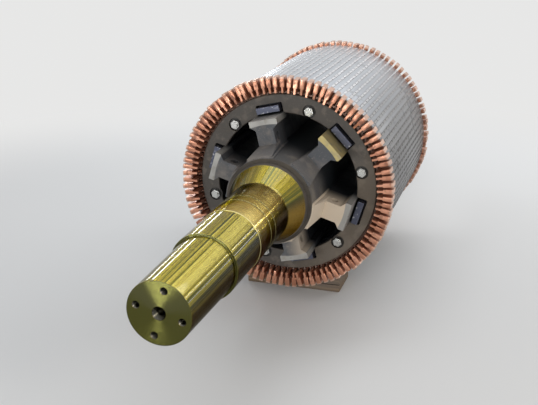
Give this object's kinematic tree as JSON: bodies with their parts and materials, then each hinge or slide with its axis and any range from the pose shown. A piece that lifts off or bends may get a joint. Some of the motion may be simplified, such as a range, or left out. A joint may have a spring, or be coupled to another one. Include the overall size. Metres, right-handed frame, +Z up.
{
  "type": "horizontal hydroelectric generator cage rotor",
  "caption": "Horizontal generator rotor on timber bearers: varnished shaft, welded ribs, slotted sheet-steel core with vent ducts, and copper cage bars standing out at both ends.",
  "frame": {"origin": "on the floor, under the middle of the core", "axes": "Y along the shaft, the end seen from the front at -Y; Z up; X across the shaft"},
  "size_m": [0.86, 3.348, 0.92],
  "materials": {
    "varnished_shaft": "turned steel under glossy yellow-green varnish",
    "rib_paint": "dusty slate grey paint",
    "core_steel": "edges of stacked steel sheet",
    "ring_paint": "grey-brown primer, dusty",
    "key_steel": "dark blue-black steel",
    "stud_steel": "bright machined steel",
    "bar_copper": "bare copper, slightly dulled",
    "wedge_steel": "thin drawn strip",
    "timber": "oil-dark rough sawn timber"
  },
  "bodies": {
    "root": {"shaft": "varnished_shaft", "rib_1": "rib_paint", "rib_2": "rib_paint", "rib_3": "rib_paint", "rib_4": "rib_paint", "rib_5": "rib_paint", "rib_6": "rib_paint", "core_packets_front": "core_steel", "core_packets_middle": "core_steel", "core_packets_rear": "core_steel", "clamp_ring_front": "ring_paint", "clamp_ring_rear": "ring_paint", "core_key_1": "key_steel", "core_key_2": "key_steel", "core_key_3": "key_steel", "core_key_4": "key_steel", "core_key_5": "key_steel", "core_key_6": "key_steel", "tie_stud_1": "stud_steel", "tie_stud_2": "stud_steel", "tie_stud_3": "stud_steel", "tie_stud_4": "stud_steel", "tie_stud_5": "stud_steel", "tie_stud_6": "stud_steel", "cage_bars_1": "bar_copper", "cage_bars_2": "bar_copper", "cage_bars_3": "bar_copper", "cage_bars_4": "bar_copper", "cage_bars_5": "bar_copper", "cage_bars_6": "bar_copper", "slot_wedges_1": "wedge_steel", "slot_wedges_2": "wedge_steel", "slot_wedges_3": "wedge_steel", "slot_wedges_4": "wedge_steel", "slot_wedges_5": "wedge_steel", "slot_wedges_6": "wedge_steel", "bearer_front": "timber", "bearer_rear": "timber"}
  },
  "joints": []
}
